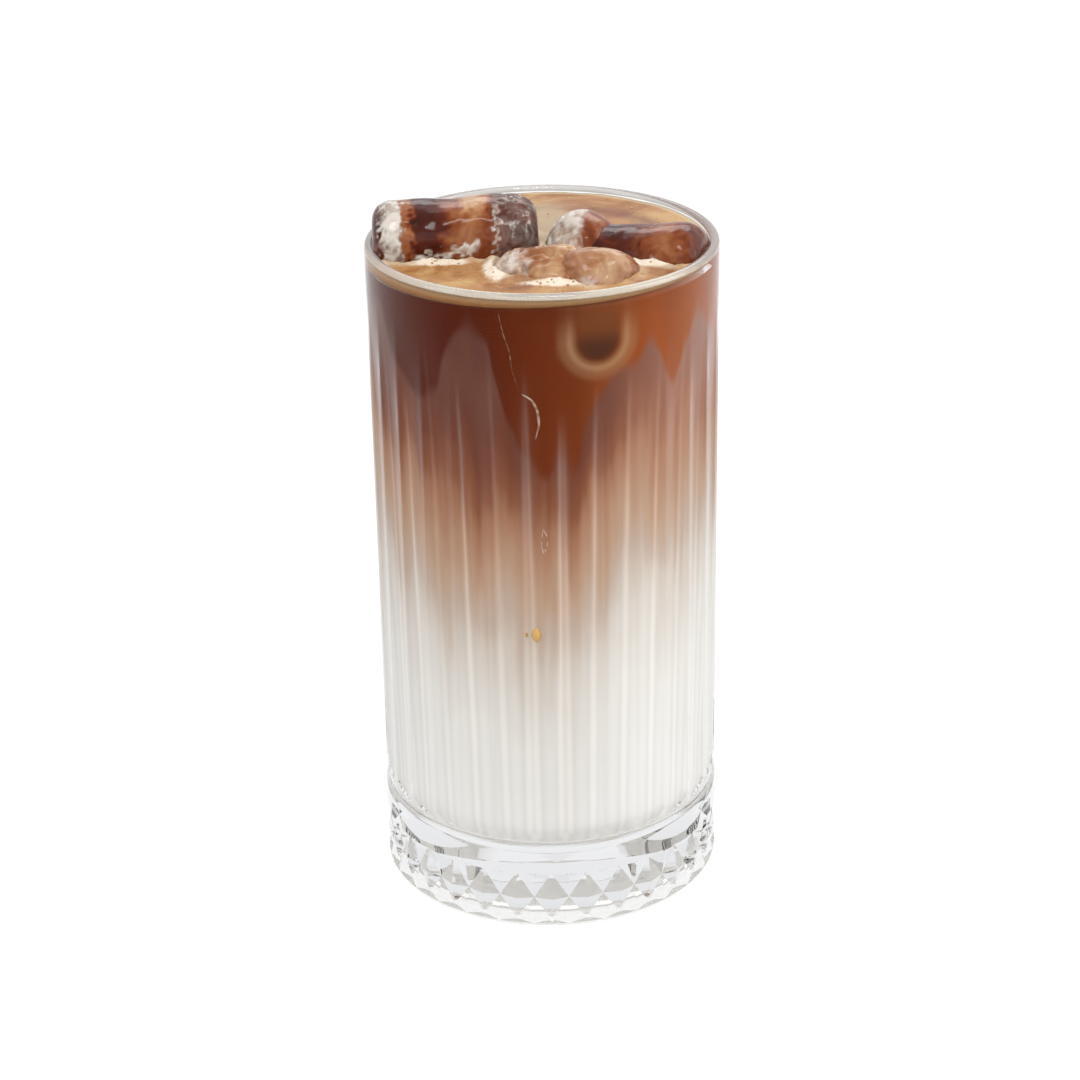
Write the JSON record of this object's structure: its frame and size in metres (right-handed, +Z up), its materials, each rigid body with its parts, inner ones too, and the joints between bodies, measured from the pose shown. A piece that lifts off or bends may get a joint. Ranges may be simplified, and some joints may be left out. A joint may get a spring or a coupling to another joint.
{
  "type": "iced coffee in a cut highball glass",
  "caption": "Tall pressed glass with upright flutes and a diamond-cut foot, filled with milk, milky coffee, dark coffee and foam, with clear bullet ice standing in the top.",
  "frame": {"origin": "centre of the foot's underside, where the glass rests", "axes": "+Z up along the glass's axis, +X to the right of the side shown, +Y away from it"},
  "size_m": [0.0774, 0.0774, 0.1607],
  "materials": {
    "glass": "clear pressed soda glass, polished",
    "milk": "opaque cold milk against the wall",
    "latte": "opaque milky coffee against the wall",
    "coffee": "dark brown coffee, clear only in thin places",
    "crema": "wet tan foam",
    "ice": "wet clear ice over coffee"
  },
  "bodies": {
    "root": {"glass": "glass", "milk": "milk", "latte": "latte", "coffee": "coffee", "crema": "crema", "ice_left": "ice", "ice_right": "ice", "ice_middle": "ice", "ice_front": "ice"}
  },
  "joints": []
}
